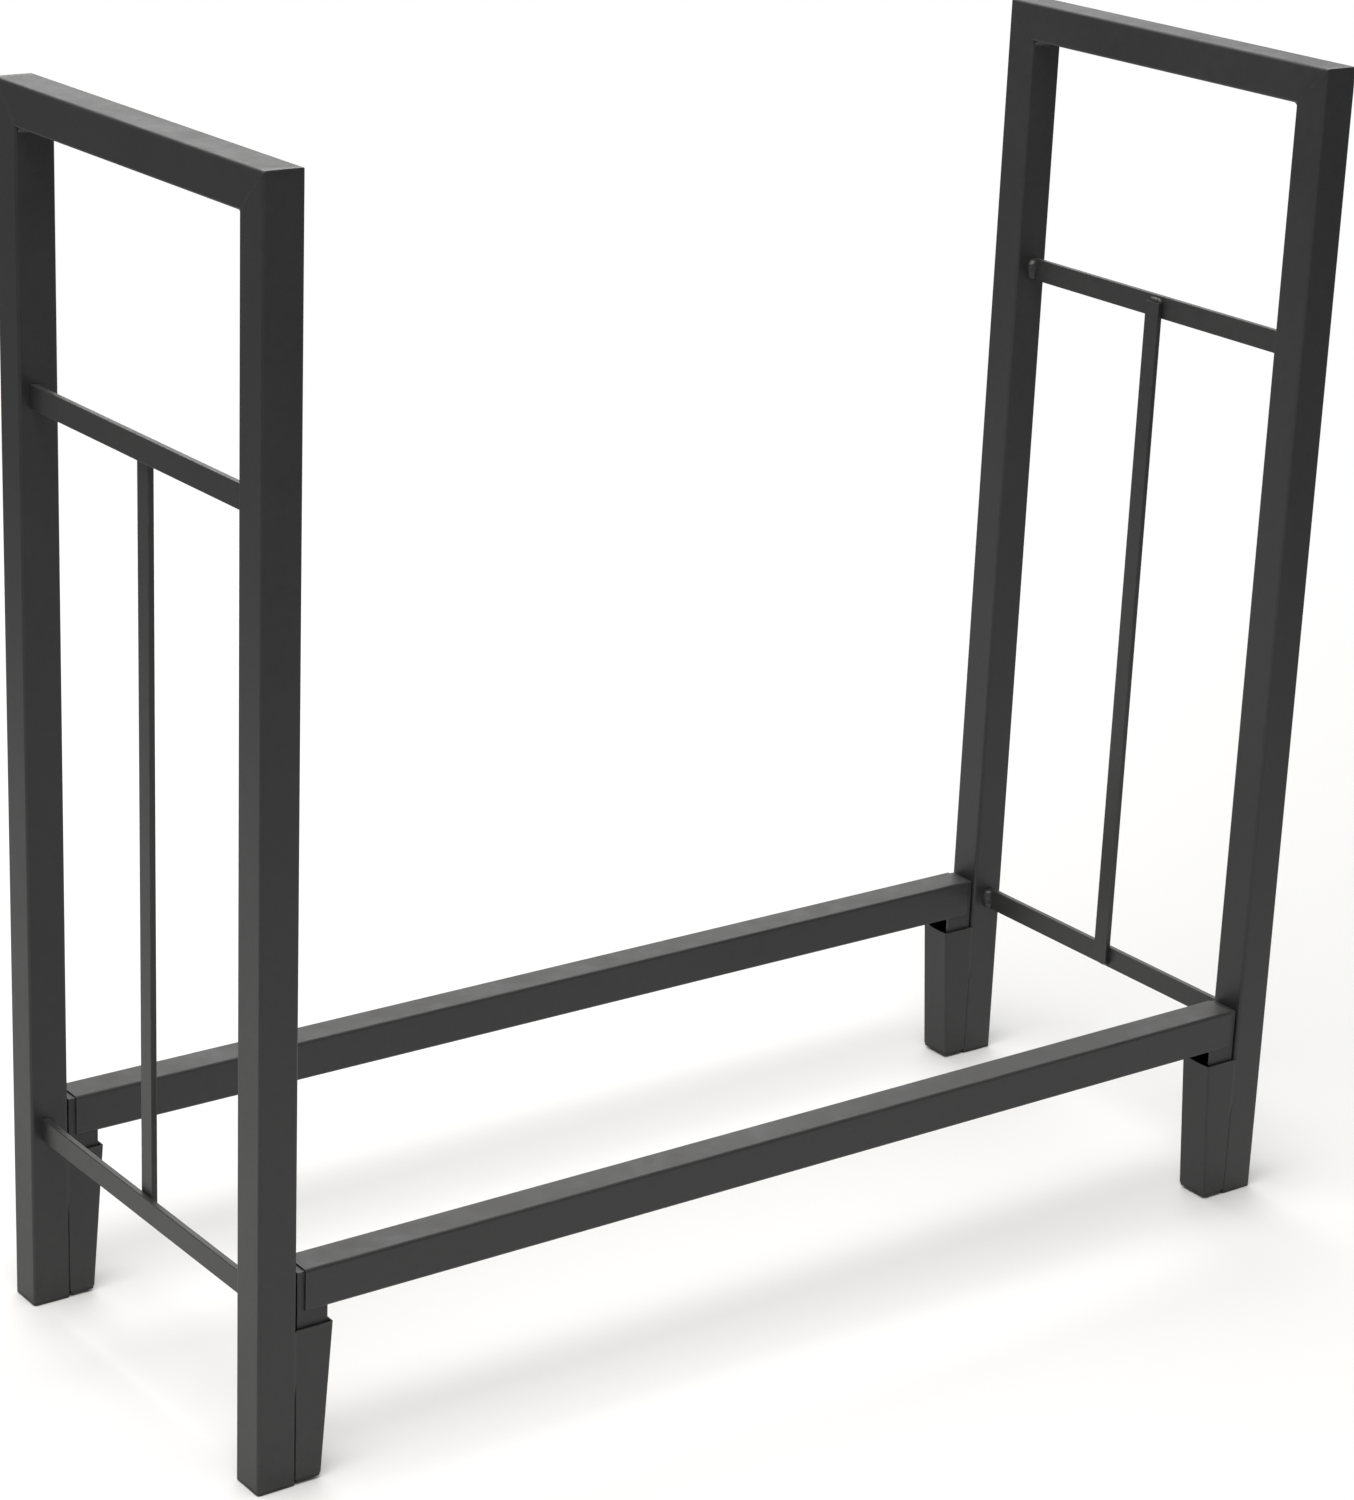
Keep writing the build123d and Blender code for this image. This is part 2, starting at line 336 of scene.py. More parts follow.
edge_sheen_and_wear = make_edge_sheen_and_wear()
print("edge_sheen_and_wear:", len(edge_sheen_and_wear.nodes), "nodes")

# %% [markdown]
# ### Handling marks and dust
# A rack that has been assembled once has hairline rubs where the tubes slid against each other,
# and a little pale dust on whatever faces up and around the feet. The rubs are noise that is
# stretched along one direction and cut off high, so only a few short threads are left.

# %% Group: handling marks
def make_handling_marks():
    tree, given, out = new_group(
        "handling_marks",
        {"Place": (VECTOR, None), "Amount": (FLOAT, 0.5)},
        {"Rubs": FLOAT, "Dust": FLOAT},
    )
    threads = []
    for turn, stretch in ((0.35, (50.0, 800.0, 800.0)), (-0.6, (800.0, 800.0, 60.0))):
        mapping = tree.nodes.new("ShaderNodeMapping")
        tree.links.new(given.outputs["Place"], mapping.inputs["Vector"])
        mapping.inputs["Rotation"].default_value = (turn, turn * 0.7, turn)
        mapping.inputs["Scale"].default_value = stretch
        field = noise_node(tree, mapping.outputs[0], 1.0, 2.0, 0.5, 0.6)
        threads.append(range_node(tree, field, 0.72, 0.84))
    either = math_node(tree, "MAXIMUM", *threads)
    where = range_node(tree, noise_node(tree, given.outputs["Place"], 11.0, 2.0), 0.45, 0.65)
    rubs = math_node(tree, "MULTIPLY", math_node(tree, "MULTIPLY", either, where), given.outputs["Amount"])
    tree.links.new(rubs, out.inputs["Rubs"])
    geometry = tree.nodes.new("ShaderNodeNewGeometry")
    up = tree.nodes.new("ShaderNodeSeparateXYZ")
    tree.links.new(geometry.outputs["Normal"], up.inputs[0])
    spot = tree.nodes.new("ShaderNodeSeparateXYZ")
    tree.links.new(given.outputs["Place"], spot.inputs[0])
    lying = range_node(tree, up.outputs["Z"], 0.55, 1.0)
    foot = range_node(tree, spot.outputs["Z"], 0.12, 0.0, 0.0, 0.45, smooth=True)
    settled = math_node(tree, "MAXIMUM", lying, foot)
    cloud = range_node(tree, noise_node(tree, given.outputs["Place"], 60.0, 5.0, 0.7), 0.35, 0.75)
    dust = math_node(tree, "MULTIPLY", math_node(tree, "MULTIPLY", settled, cloud), given.outputs["Amount"])
    tree.links.new(dust, out.inputs["Dust"])
    return tree


handling_marks = make_handling_marks()
print("handling_marks:", len(handling_marks.nodes), "nodes")

# %% [markdown]
# ## The coats
# One recipe serves all the steel: the base tone drifts between two charcoals, the edges go a
# little lighter as thin coat and painted highlight, chips show grey primer, and dust lies over
# everything. What differs from part to part is how it was sprayed and handled, and the tone is
# also painted light and shade: the rails a touch lighter, the shoes under the rail ends darkest.
# The tubes have a calm skin, the folded sockets lie in a corner where the powder builds up rough,
# the rails get rubbed by the logs, and the coat pools glossy over a weld.

# %% Material recipe for coated steel
PRIMER_GREY = (0.16, 0.16, 0.165, 1)
# painted highlight along the edges, and the thinner coat over an edge
THIN_COAT_AND_SHEEN_GREY = (0.10, 0.10, 0.102, 1)      # the coat over an edge
DUST_GREY = (0.20, 0.19, 0.175, 1)


def use_group(tree, group, **values):
    node = tree.nodes.new("ShaderNodeGroup")
    node.node_tree = group
    for name, value in values.items():
        fill(tree, node.inputs[name.replace("_", " ")], value)
    return node.outputs


def coated_steel(name, dark, light, gloss, peel_depth, wear, marks, peel=520.0, grain_share=0.35,
                 dressed_corners=False):
    """gloss is the mean roughness, peel_depth in metres; the edge amount (painted edge highlight and real
    wear) and marks run from 0 to 1.
    """
    material = bpy.data.materials.new(name)
    material.use_nodes = True
    tree = material.node_tree
    shader = tree.nodes["Principled BSDF"]
    place = tree.nodes.new("ShaderNodeTexCoord").outputs["Object"]
    skin = use_group(tree, coat_skin, Place=place, Peel_per_metre=peel, Grain_share=grain_share)
    edge = use_group(tree, edge_sheen_and_wear, Place=place, Amount=wear)
    mark = use_group(tree, handling_marks, Place=place, Amount=marks)

    tone = blend_colours(tree, range_node(tree, skin["Drift"], 0.3, 0.7), dark, light)
    # The edge mask lightens every edge: a painted highlight, and the thinner coat there.
    edged = blend_colours(tree, edge["Edge"], tone, THIN_COAT_AND_SHEEN_GREY)
    chipped = blend_colours(tree, edge["Chips"], edged, PRIMER_GREY)
    rubbed_and_sheened = blend_colours(tree, math_node(tree, "MULTIPLY", mark["Rubs"], 0.22), chipped, PRIMER_GREY)
    dusted = blend_colours(tree, math_node(tree, "MULTIPLY", mark["Dust"], 0.22), rubbed_and_sheened, DUST_GREY)
    tree.links.new(dusted, shader.inputs["Base Color"])

    rough = range_node(tree, skin["Drift"], 0.3, 0.7, gloss - 0.05, gloss + 0.05)
    rough = math_node(tree, "MULTIPLY_ADD", mark["Dust"], 0.25, rough)
    rough = math_node(tree, "MULTIPLY_ADD", edge["Edge"], -0.10, rough, clamp=True)
    height = skin["Height"]
    if dressed_corners:
        rough, height = dress_corners(tree, place, rough, height)
    tree.links.new(rough, shader.inputs["Roughness"])

    bump = tree.nodes.new("ShaderNodeBump")
    bump.inputs["Strength"].default_value = 1.0
    bump.inputs["Distance"].default_value = peel_depth
    tree.links.new(height, bump.inputs["Height"])
    tree.links.new(bump.outputs[0], shader.inputs["Normal"])
    shader.inputs["Specular IOR Level"].default_value = 0.42
    print(name, "gloss", gloss, "peel", peel_depth / MM, "mm")
    return material


# %% [markdown]
# ### Dressed corners
# The top corners are mitred, welded and ground flush before coating. The grinder leaves a band a
# few millimetres wide each side of the joint, a touch smoother, with faint streaks across it. The
# joint is the line where the distance in from the end equals the distance down from the top, so
# the band is found from the Object coordinates alone.

# %% The ground band over a mitre
def dress_corners(tree, place, rough, height):
    spot = tree.nodes.new("ShaderNodeSeparateXYZ")
    tree.links.new(place, spot.inputs[0])
    inward = math_node(tree, "SUBTRACT", half_depth, math_node(tree, "ABSOLUTE", spot.outputs["Y"]))
    downward = math_node(tree, "SUBTRACT", rack_height, spot.outputs["Z"])
    off_joint = math_node(tree, "ABSOLUTE", math_node(tree, "SUBTRACT", inward, downward))
    wander = math_node(tree, "MULTIPLY_ADD", noise_node(tree, place, 160.0, 2.0), 6.0 * MM, off_joint)
    band = range_node(tree, wander, 10.5 * MM, 4.5 * MM, smooth=True)
    near_top = range_node(tree, downward, 34.0 * MM, 26.0 * MM)
    band = math_node(tree, "MULTIPLY", band, near_top)
    along = math_node(tree, "ADD", inward, downward)
    streaks = math_node(tree, "SINE", math_node(tree, "MULTIPLY", along, 5200.0))
    seam = range_node(tree, off_joint, 0.6 * MM, 0.0, smooth=True)
    rough = math_node(tree, "MULTIPLY_ADD", band, -0.09, rough, clamp=True)
    height = math_node(tree, "MULTIPLY_ADD", math_node(tree, "MULTIPLY", streaks, band), 0.12, height)
    height = math_node(tree, "MULTIPLY_ADD", math_node(tree, "MULTIPLY", seam, near_top), -0.5, height)
    return rough, height


print("mitres lie between the posts and the top rails")

# %% The coats themselves
# The tones differ a little from coat to coat, though the rack is one charcoal throughout. This difference
# is painted light and shade: lighter where a part is lit more, as on the rails, and darkest on the shoes,
# as painted shade under the rail ends.
COATS = {
    "frame_coat": coated_steel(
        "satin_charcoal_tube", dark=(0.017, 0.0172, 0.018, 1), light=(0.025, 0.0252, 0.0258, 1),
        gloss=0.46, peel_depth=0.06 * MM, wear=0.40, marks=0.55, dressed_corners=True),
    "bar_coat": coated_steel(
        "satin_charcoal_flat_bar", dark=(0.018, 0.018, 0.0185, 1), light=(0.028, 0.0278, 0.0278, 1),
        gloss=0.44, peel_depth=0.05 * MM, wear=0.55, marks=0.45, peel=640.0),
    # Rail tone: painted light, a touch lighter than the tubes.
    "rail_coat": coated_steel(
        "satin_charcoal_rail", dark=(0.018, 0.0182, 0.019, 1), light=(0.027, 0.027, 0.0275, 1),
        gloss=0.47, peel_depth=0.06 * MM, wear=0.50, marks=0.80),
    "socket_coat": coated_steel(
        "satin_charcoal_socket", dark=(0.0175, 0.0177, 0.0183, 1), light=(0.027, 0.0272, 0.0278, 1),
        gloss=0.50, peel_depth=0.08 * MM, wear=0.45, marks=0.60, peel=430.0, grain_share=0.5),
    # Shoe tone: painted shade, the darkest coat, where it sits under the rail end.
    "shoe_coat": coated_steel(
        "satin_charcoal_shoe", dark=(0.015, 0.0152, 0.0158, 1), light=(0.024, 0.024, 0.0245, 1),
        gloss=0.50, peel_depth=0.07 * MM, wear=0.60, marks=0.50, grain_share=0.5),
    "weld_coat": coated_steel(
        "satin_charcoal_over_weld", dark=(0.019, 0.019, 0.0195, 1), light=(0.030, 0.030, 0.030, 1),
        gloss=0.36, peel_depth=0.04 * MM, wear=0.25, marks=0.30, peel=760.0),
}
print("coats:", sorted(COATS))

# %% [markdown]
# ### Moulded plastic
# The foot plugs are black polyethylene. Moulded plastic of this kind is duller than the coat, with
# a sparked texture from the mould, paler edges that are partly rubbed and partly a painted highlight,
# and dust where it meets the ground.

# %% Plastic
def moulded_plastic(name):
    material = bpy.data.materials.new(name)
    material.use_nodes = True
    tree = material.node_tree
    shader = tree.nodes["Principled BSDF"]
    place = tree.nodes.new("ShaderNodeTexCoord").outputs["Object"]
    skin = use_group(tree, coat_skin, Place=place, Peel_per_metre=1400.0, Grain_per_metre=5200.0,
                     Grain_share=0.8)
    mark = use_group(tree, handling_marks, Place=place, Amount=0.8)
    edge = use_group(tree, edge_sheen_and_wear, Place=place, Reach=0.0008, Amount=0.5)
    tone = blend_colours(tree, skin["Drift"], (0.008, 0.008, 0.0085, 1), (0.014, 0.014, 0.0145, 1))
    # Paler edges: a painted highlight, and rubbed plastic.
    rubbed_and_sheened = blend_colours(tree, edge["Edge"], tone, (0.05, 0.05, 0.05, 1))
    dusted = blend_colours(tree, math_node(tree, "MULTIPLY", mark["Dust"], 0.35), rubbed_and_sheened, DUST_GREY)
    tree.links.new(dusted, shader.inputs["Base Color"])
    tree.links.new(range_node(tree, skin["Drift"], 0.3, 0.7, 0.5, 0.62), shader.inputs["Roughness"])
    bump = tree.nodes.new("ShaderNodeBump")
    bump.inputs["Strength"].default_value = 1.0
    bump.inputs["Distance"].default_value = 0.02 * MM
    tree.links.new(skin["Height"], bump.inputs["Height"])
    tree.links.new(bump.outputs[0], shader.inputs["Normal"])
    shader.inputs["Specular IOR Level"].default_value = 0.4
    print(name, "ready")
    return material


COATS["foot_plastic"] = moulded_plastic("moulded_black_plastic")

# %% [markdown]
# ## Weld beads
# The CAD model marks every weld with a smooth quarter round. A real one is laid by hand: the torch
# pauses, moves on and pauses again, and each pause leaves a ripple, so a bead is a row of
# overlapping puddles that is never quite straight. One way is to join a string of small spheres,
# but their meeting lines stay sharp. A single sphere with many rings, stretched along the joint and
# swelled ring by ring, gives the ripples and keeps one closed skin. The two planes that the bead is
# welded to then cut it off, just inside the steel.

# %% Helpers for new pieces
def collect(bm, mesh_name):
    """Close the bmesh into a mesh: doubles merged, faces pointing outwards."""
    bmesh.ops.remove_doubles(bm, verts=bm.verts, dist=0.002 * MM)
    bmesh.ops.recalc_face_normals(bm, faces=bm.faces)
    mesh = bpy.data.meshes.new(mesh_name)
    bm.to_mesh(mesh)
    bm.free()
    return mesh


def add_piece(bm, name, slot_name, stands_for=(), smooth_angle=35.0):
    """Make a piece of the rack that rides on its one rigid body."""
    mesh = collect(bm, name)
    mesh.materials.append(COATS[slot_name])
    mesh.shade_smooth()
    mesh.set_sharp_from_angle(angle=math.radians(smooth_angle))
    piece = bpy.data.objects.new(name, mesh)
    bpy.context.scene.collection.objects.link(piece)
    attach(piece, "root")
    if stands_for:
        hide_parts(*stands_for)
    print(f"{name}: {len(mesh.polygons)} faces")


def cut_off(bm, geometry, point, outward):
    """Cut the closed mesh in geometry with a plane, drop what lies behind it and close the hole."""
    bmesh.ops.bisect_plane(bm, geom=geometry, dist=0.001 * MM, plane_co=point, plane_no=outward,
                           clear_inner=True)
    bmesh.ops.holes_fill(bm, edges=[e for e in bm.edges if e.is_boundary], sides=0)


def cut_level(bm, height):
    """Cut every face of the mesh along a level plane, and keep both halves."""
    bmesh.ops.bisect_plane(bm, geom=bm.verts[:] + bm.edges[:] + bm.faces[:],
                           plane_co=(0, 0, height), plane_no=(0, 0, 1))


# %% One bead
BURIED = 0.25 * MM
END_SUDDENNESS = 3.2      # how late a bead starts to close towards its ends
END_BLUNTNESS = 0.42      # and how round it closes
RIPPLE_DEPTH = 0.028      # of the bead's radius
RIPPLE_TRAIL = 0.12       # how far a ripple trails across the bead, of half its length
LUMP_DEPTH = 0.13
LUMPS_ACROSS, LUMPS_ALONG = 1.3, 2.1


def lay_bead(bm, corner, along, length, radius, open_sides, seed, ripples=3):
    """Add one bead to bm: a rippled, stretched sphere centred on corner and cut off by the steel."""
    part = bmesh.new()
    bmesh.ops.create_uvsphere(part, u_segments=32, v_segments=44, radius=1.0)
    for vert in part.verts:
        height = max(-1.0, min(1.0, vert.co.z))
        ring = math.sqrt(max(1e-9, 1.0 - height * height))
        full = (1.0 - abs(height) ** END_SUDDENNESS) ** END_BLUNTNESS
        trail = RIPPLE_TRAIL * (vert.co.x + vert.co.y) / ring
        swell = 1.0 + RIPPLE_DEPTH * math.cos(math.pi * ripples * (height + trail) + seed)
        lump_place = Vector((vert.co.x * LUMPS_ACROSS, vert.co.y * LUMPS_ACROSS,
                             height * LUMPS_ALONG + 7.7 * seed))
        lump = 1.0 + LUMP_DEPTH * noise.noise(lump_place)
        girth = full / ring * swell * lump if ring > 1e-3 else 0.0
        vert.co.x *= girth
        vert.co.y *= girth
    bmesh.ops.scale(part, verts=part.verts, vec=(radius, radius, length / 2))
    turn = Vector((0, 0, 1)).rotation_difference(Vector(along)).to_matrix()
    bmesh.ops.rotate(part, verts=part.verts, cent=(0, 0, 0), matrix=turn)
    bmesh.ops.translate(part, verts=part.verts, vec=corner)
    bmesh.ops.remove_doubles(part, verts=part.verts, dist=0.01 * MM)
    for outward in open_sides:
        plane_point = Vector(corner) - Vector(outward) * BURIED
        cut_off(part, part.verts[:] + part.edges[:] + part.faces[:], plane_point, outward)
    add_mesh(bm, part)


def add_mesh(bm, part):
    """Append one bmesh to another."""
    mesh = bpy.data.meshes.new("loose_part")
    part.to_mesh(mesh)
    part.free()
    bm.from_mesh(mesh)
    bpy.data.meshes.remove(mesh)


print("beads are cut off", BURIED / MM, "mm inside the steel")

# %% [markdown]
# ### The corner welds
# In the inner corner of each mitre the weld is hollow faced, because it is pulled into the corner
# and then brushed. An arc spun a quarter turn gives that section, and it is extruded across the
# tube in short steps. The section grows and shrinks a little from step to step, so the run keeps a
# faint wave.

# %% One corner weld
CORNER_LEG = 3.2 * MM
CORNER_STEPS = 26
CORNER_SHORT = 1.6 * MM      # the run stops this far inside the tube's side faces
CORNER_WAVE, CORNER_LUMPS = 0.07, 0.05


def lay_corner_weld(bm, side, end, seed):
    part = bmesh.new()
    corner = Vector((0, end * inner_y, rack_height - tube))
    inward, down = Vector((0, -end, 0)), Vector((0, 0, -1))
    centre = corner + (inward + down) * CORNER_LEG
    start = part.verts.new(corner + inward * CORNER_LEG)
    spun = bmesh.ops.spin(part, geom=[start], cent=centre, axis=inward.cross(down),
                          angle=math.radians(-90), steps=8)
    arc_end = spun["geom_last"][0]
    if (arc_end.co - (corner + down * CORNER_LEG)).length > 0.1 * MM:
        raise ValueError("the corner weld was spun the wrong way")
    buried = part.verts.new(corner - (inward + down) * BURIED)
    part.edges.new((arc_end, buried))
    part.edges.new((buried, start))
    face = bmesh.ops.contextual_create(part, geom=part.edges[:])["faces"][0]
    half_run = tube / 2 - CORNER_SHORT
    step = 2 * half_run / CORNER_STEPS
    bmesh.ops.translate(part, verts=part.verts, vec=(side * (inner_x + tube / 2) - half_run, 0, 0))
    for index in range(CORNER_STEPS):
        made = bmesh.ops.extrude_face_region(part, geom=[face])["geom"]
        if index > 0:
            bmesh.ops.delete(part, geom=[face], context="FACES_ONLY")
        face = next(g for g in made if isinstance(g, bmesh.types.BMFace))
        ring = [g for g in made if isinstance(g, bmesh.types.BMVert)]
        bmesh.ops.translate(part, verts=ring, vec=(step, 0, 0))
        wave = CORNER_WAVE * math.sin(index * 1.45 + seed)
        wave += CORNER_LUMPS * noise.noise(Vector((index * 0.4, seed, 0)))
        for vert in ring:
            offset = vert.co - corner
            offset.x = 0
            if offset.dot(inward + down) > 0:
                vert.co += offset * wave
    add_mesh(bm, part)


# %% Weld both end frames
END_BEAD_RADIUS = 4.9 * MM
END_BEAD_SHARE = 0.96      # of the crossbar's height
LAP_BEAD_RADIUS = 2.9 * MM
LAP_BEAD_SHARE = 0.92      # of the centre bar's width
LAP_BEAD_RIPPLES = 5


def weld_frame(side_name, side):
    bm = bmesh.new()
    into_bay = (-side, 0, 0)
    seed = 3.0 + side
    for end in ENDS.values():
        lay_corner_weld(bm, side, end, seed)
        for bar in ("upper_crossbar", "lower_crossbar"):
            low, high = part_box(f"{side_name}_{bar}")
            middle = (low.z + high.z) / 2
            seed += 1.7
            lay_bead(bm, (side * bar_face_x, end * inner_y, middle), (0, 0, 1),
                     bar_width * END_BEAD_SHARE, END_BEAD_RADIUS, (into_bay, (0, -end, 0)), seed)
    low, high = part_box(f"{side_name}_centre_bar")
    for height, up in ((high.z, 1), (low.z, -1)):
        seed += 2.3
        lay_bead(bm, (side * bar_face_x, 0, height), (0, 1, 0), (high.y - low.y) * LAP_BEAD_SHARE,
                 LAP_BEAD_RADIUS, (into_bay, (0, 0, up)), seed, LAP_BEAD_RIPPLES)
    add_piece(bm, f"{side_name}_weld_beads", "weld_coat", [f"{side_name}_frame_welds"])


for side_name, side in SIDES.items():
    weld_frame(side_name, side)

# %% [markdown]
# ## The seam beside each leg
# A tapered socket stands against every leg. The tube's corner is round and the folded sheet is
# square, so a narrow groove runs down between them. On the real rack its upper third is filled with
# weld and dressed nearly flush, and further down there is only a root run that leaves a shallow
# groove. The filler starts as a cube, is cut into slices along its length, and each slice sinks by
# its own amount: hardly at all above, and by most of a millimetre below.

# %% Fill the seams
SEAM_FLUSH = 30.0 * MM        # length of the part that is dressed flush
SEAM_FADE = 16.0 * MM         # length over which it then sinks
SEAM_SUNK = 0.7 * MM
SEAM_DRESSED = 0.05 * MM      # even the flush part lies this far below the faces
SEAM_WAVE = 0.04 * MM
SEAM_WAVE_PITCH = 2.2 * MM
SEAM_MARGIN = 0.3 * MM        # free of filler at both ends of the socket
SEAM_WIDTH = 2.2 * MM
SEAM_SLICES = 40


def fill_seam(bm, side, low, top, face_y, outward, seed):
    """One run of filler; outward is -1 or 1 along Y, the way that this face of the leg looks."""
    part = bmesh.new()
    bmesh.ops.create_cube(part, size=1.0)
    bmesh.ops.scale(part, verts=part.verts, vec=(SEAM_WIDTH + BURIED, SEAM_WIDTH, top - low))
    centre = Vector((side * (inner_x + (SEAM_WIDTH - BURIED) / 2), face_y - outward * SEAM_WIDTH / 2,
                     (top + low) / 2))
    bmesh.ops.translate(part, verts=part.verts, vec=centre)
    for index in range(1, SEAM_SLICES):
        cut_level(part, low + (top - low) * index / SEAM_SLICES)
    for vert in part.verts:
        if (vert.co.y - centre.y) * outward > 0:
            below = min(1.0, max(0.0, (top - SEAM_FLUSH - vert.co.z) / SEAM_FADE))
            wave = SEAM_WAVE * noise.noise(Vector((seed, 0, vert.co.z / SEAM_WAVE_PITCH)))
            sunk = below * below * (3 - 2 * below) * SEAM_SUNK
            vert.co.y -= outward * (SEAM_DRESSED + wave + sunk)
    add_mesh(bm, part)


def fill_leg_seams(side_name, side, end_name):
    post_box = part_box(f"{side_name}_{end_name}_post")
    socket_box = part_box(f"{side_name}_{end_name}_socket")
    bm = bmesh.new()
    for outward, face_y in ((-1, post_box[0].y), (1, post_box[1].y)):
        fill_seam(bm, side, socket_box[0].z + SEAM_MARGIN, socket_box[1].z - SEAM_MARGIN, face_y,
                  outward, 5.1 * side + face_y * 40)
    add_piece(bm, f"{side_name}_{end_name}_seam_weld", "weld_coat")


for side_name, side in SIDES.items():
    for end_name in ENDS:
        fill_leg_seams(side_name, side, end_name)

# %% [markdown]
# ## Plugs under the feet
# Each post stands on a black plastic plug: a flange as wide as the tube, with a softly rounded rim,
# and a ribbed spigot that grips inside the tube. From below one sees the hollow that keeps the
# moulding from sinking, and the nib where the plastic was let in. A cube makes the flange once its
# upright edges and then its rim are bevelled; the face below, drawn in and pushed upwards, makes the
# hollow. The spigot is a second cube, hollowed the same way from above, and its ribs are rings of
# its side faces drawn outwards.

# %% Helpers for a plug
RIM_ROUND = 1.0 * MM
SOLE_RISE = 0.8 * MM       # depth of the hollow under a flange
SOLE_DRAFT = 0.4 * MM      # how far its walls lean
NIB_DEPTH = 0.7 * MM
NIB_DROP = 0.2 * MM
NIB_TIP, NIB_FOOT = 0.8 * MM, 1.3 * MM
SPIGOT_CORNER = 0.6 * MM
RIB_COUNT = 4
RIB_START, RIB_SHARE = 0.45, 0.3      # where a rib lies in its share of the height
RIB_SLOPE = 0.25 * MM
BORE_DRAFT, BORE_SHARE = 0.2 * MM, 0.9      # lean of the bore's walls, and its share of the height


def round_edges(bm, edges, radius, segments):
    bmesh.ops.bevel(bm, geom=edges, offset=radius, offset_type="OFFSET", segments=segments,
                    profile=0.5, affect="EDGES", material=-1, clamp_overlap=True)


def round_bar(low, high, corner_radius, segments):
    """A cube fitted to the box from low to high, with its upright edges rounded."""
    bm = bmesh.new()
    bmesh.ops.create_cube(bm, size=1.0)
    low, high = Vector(low), Vector(high)
    bmesh.ops.scale(bm, verts=bm.verts, vec=high - low)
    bmesh.ops.translate(bm, verts=bm.verts, vec=(low + high) / 2)
    upright = [e for e in bm.edges if abs(e.verts[0].co.z - e.verts[1].co.z) > (high.z - low.z) / 2]
    round_edges(bm, upright, corner_radius, segments)
    return bm


def face_towards(bm, direction, level):
    """The largest face that looks along direction and lies at that height."""
    found = [f for f in bm.faces if f.normal.dot(Vector(direction)) > 0.99
             and abs(f.calc_center_median().z - level) < 0.05 * MM]
    return max(found, key=lambda f: f.calc_area())


def draw_in(bm, face, margin, rise):
    """Extrude a level face, make it smaller by margin all round and move it up by rise."""
    made = bmesh.ops.extrude_face_region(bm, geom=[face])["geom"]
    bmesh.ops.delete(bm, geom=[face], context="FACES_ONLY")
    inner = next(g for g in made if isinstance(g, bmesh.types.BMFace))
    xs, ys = [v.co.x for v in inner.verts], [v.co.y for v in inner.verts]
    wide, deep = max(xs) - min(xs), max(ys) - min(ys)
    centre = Vector((min(xs) + wide / 2, min(ys) + deep / 2, 0))
    bmesh.ops.scale(bm, verts=inner.verts, space=Matrix.Translation(-centre),
                    vec=(1 - 2 * margin / wide, 1 - 2 * margin / deep, 1))
    bmesh.ops.translate(bm, verts=inner.verts, vec=(0, 0, rise))
    return inner


def make_flange(low, high, corner_radius, hollow_margin):
    """The flange, hollowed from below, with the nib where the plastic came in."""
    bm = round_bar(low, high, corner_radius, 5)
    rim = [e for e in bm.edges if all(abs(v.co.z - low[2]) < 0.01 * MM for v in e.verts)]
    round_edges(bm, rim, RIM_ROUND, 4)
    bm.normal_update()
    sole = face_towards(bm, (0, 0, -1), low[2])
    sole = draw_in(bm, sole, hollow_margin, 0.0)
    sole = draw_in(bm, sole, SOLE_DRAFT, SOLE_RISE)
    middle = sole.calc_center_median()
    bmesh.ops.create_cone(bm, cap_ends=True, segments=20, radius1=NIB_TIP, radius2=NIB_FOOT,
                          depth=NIB_DEPTH, matrix=Matrix.Translation(middle - Vector((0, 0, NIB_DROP))))
    return bm


def make_spigot(low, high, wall, rib_reach):
    """The hollow spigot with its ribs; rib_reach 0 leaves them out."""
    bm = round_bar(low, high, SPIGOT_CORNER, 3)
    if rib_reach:
        pitch = (high[2] - low[2]) / RIB_COUNT
        for index in range(RIB_COUNT):
            foot = low[2] + (index + RIB_START) * pitch
            head = foot + RIB_SHARE * pitch
            cut_level(bm, foot)
            cut_level(bm, head)
            bm.normal_update()
            band = [f for f in bm.faces
                    if abs(f.normal.z) < 0.1 and foot < f.calc_center_median().z < head]
            bmesh.ops.inset_region(bm, faces=band, thickness=RIB_SLOPE, depth=rib_reach,
                                   use_even_offset=True)
    bm.normal_update()
    mouth = face_towards(bm, (0, 0, 1), high[2])
    mouth = draw_in(bm, mouth, wall, 0.0)
    draw_in(bm, mouth, BORE_DRAFT, -(high[2] - low[2]) * BORE_SHARE)
    return bm


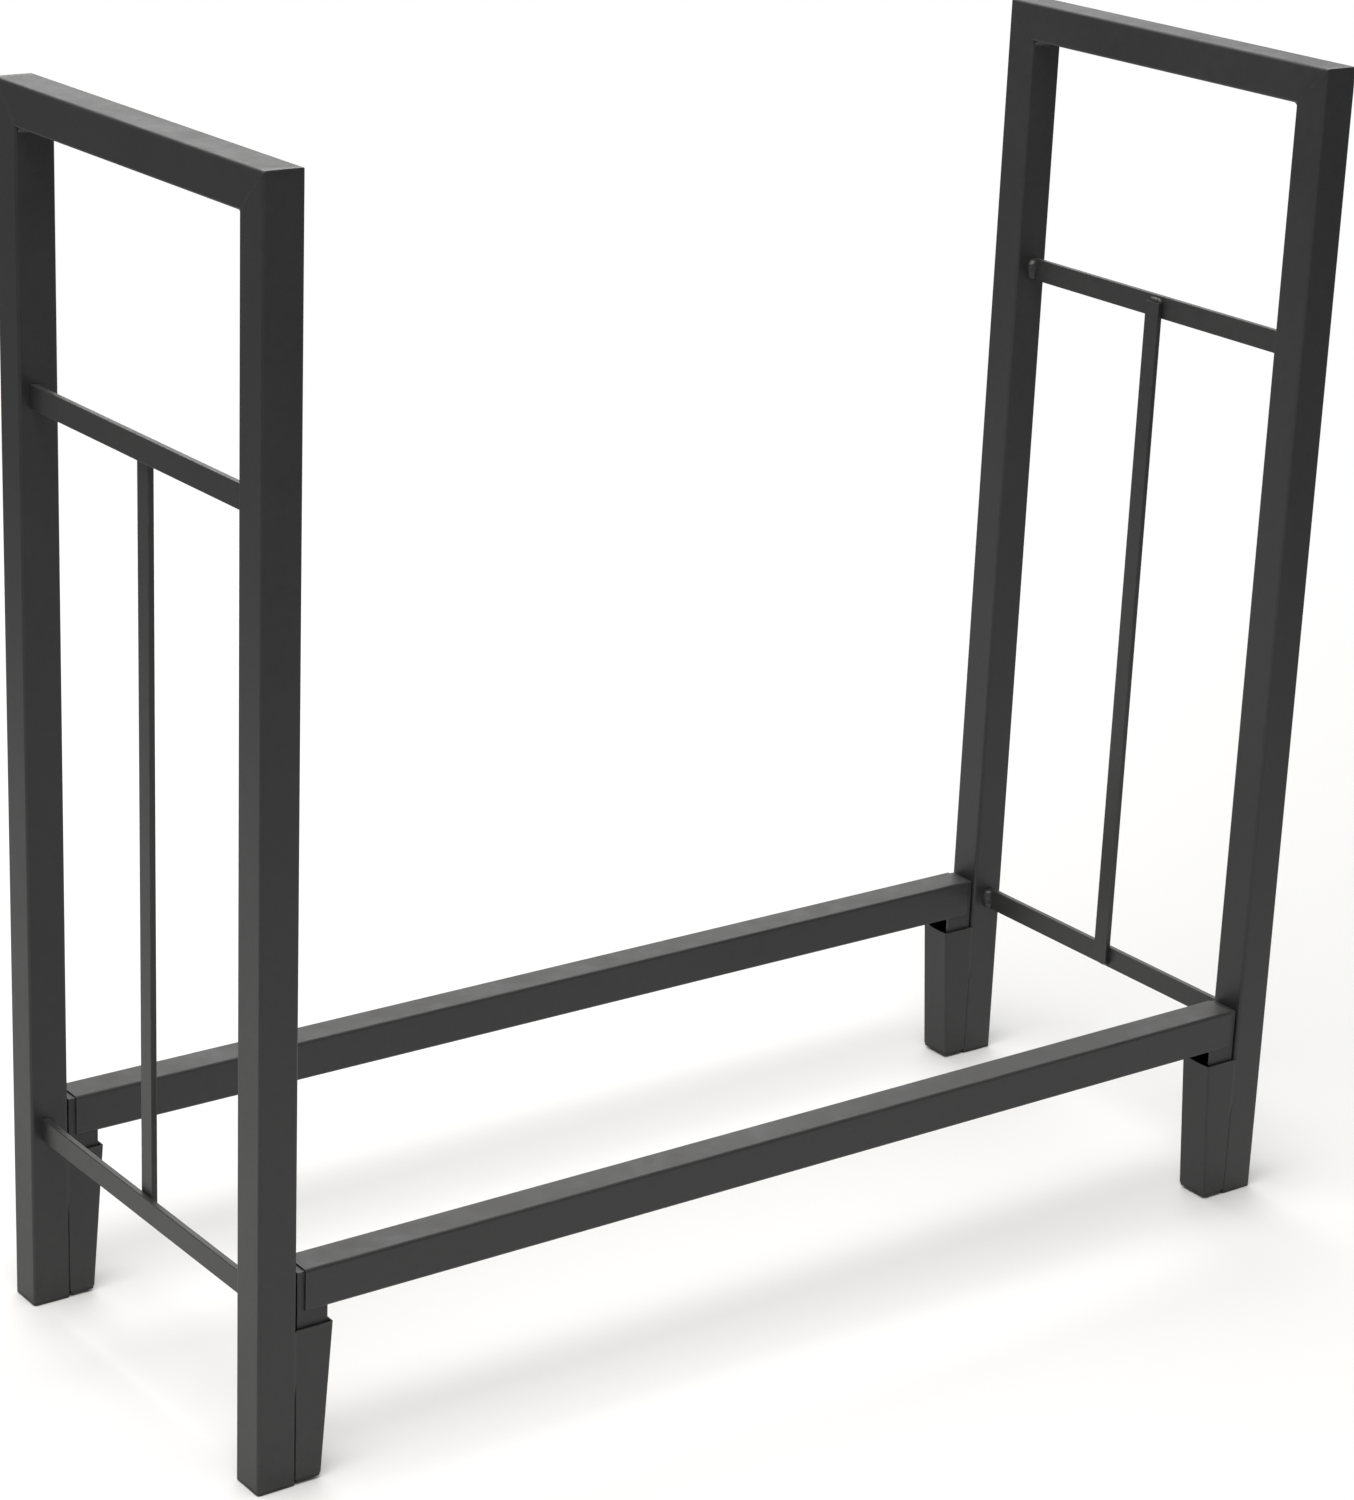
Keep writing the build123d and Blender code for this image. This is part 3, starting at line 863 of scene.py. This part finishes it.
# %% Mould the plugs
PLUG_WALL = 1.5 * MM
RIB_REACH = 0.8 * MM
TUBE_WALL = 1.2 * MM
FIT = 0.1 * MM
SPIGOT_SINK = 0.4 * MM            # the spigot starts this far inside its flange
SMOOTH_BELOW = 30.0               # degrees, for the moulded pieces
TUBE_CORNER, TUBE_SOLE = 2.0 * MM, 3.6 * MM          # corner radius and margin round the hollow
SOCKET_CORNER, SOCKET_SOLE = 1.6 * MM, 3.0 * MM
SPIGOT_SHORT = 0.9 * MM           # a socket's spigot ends this far before its flange does
FLANGE_SETBACK = 0.3 * MM         # and the flange starts this far after it, next to the post


def mould_plug(leg, node, seat, spigot_low, spigot_high, flange_low, flange_high, corner, margin, reach):
    bm = make_flange(flange_low, (*flange_high, seat), corner, margin)
    add_mesh(bm, make_spigot((*spigot_low, seat - SPIGOT_SINK), spigot_high, PLUG_WALL, reach))
    add_piece(bm, f"{leg}_{node}_moulding", "foot_plastic", [f"{leg}_{node}"], SMOOTH_BELOW)


for side_name, side in SIDES.items():
    for end_name in ENDS:
        leg = f"{side_name}_{end_name}"
        low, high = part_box(f"{leg}_foot_plug")
        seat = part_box(f"{leg}_post")[0].z
        step = TUBE_WALL + FIT + RIB_REACH
        mould_plug(leg, "foot_plug", seat, (low.x + step, low.y + step),
                   (high.x - step, high.y - step, high.z), low, (high.x, high.y),
                   TUBE_CORNER, TUBE_SOLE, RIB_REACH)
        low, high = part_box(f"{leg}_socket_plug")
        socket_low, socket_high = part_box(f"{leg}_socket")
        inset = FIT + TUBE_WALL
        if side < 0:
            spigot_from, spigot_to = low.x, high.x - SPIGOT_SHORT
            flange_from, flange_to = low.x + FLANGE_SETBACK, high.x
        else:
            spigot_from, spigot_to = low.x + SPIGOT_SHORT, high.x
            flange_from, flange_to = low.x, high.x - FLANGE_SETBACK
        mould_plug(leg, "socket_plug", socket_low.z, (spigot_from, socket_low.y + inset),
                   (spigot_to, socket_high.y - inset, high.z), (flange_from, low.y, low.z),
                   (flange_to, high.y), SOCKET_CORNER, SOCKET_SOLE, 0.0)

# %% [markdown]
# ### Dress the steel
# A CAD node keeps its mesh. Its object already has one material slot per finish, named after the
# finish, so the coat goes in by that name.

# %% Put the coats on the CAD nodes
for name, node in sorted(nodes.items()):
    for material_slot in node.material_slots:
        slot_name = material_slot.material.name.split(".")[0]
        material_slot.material = COATS[slot_name]
print("dressed", len(nodes), "nodes")
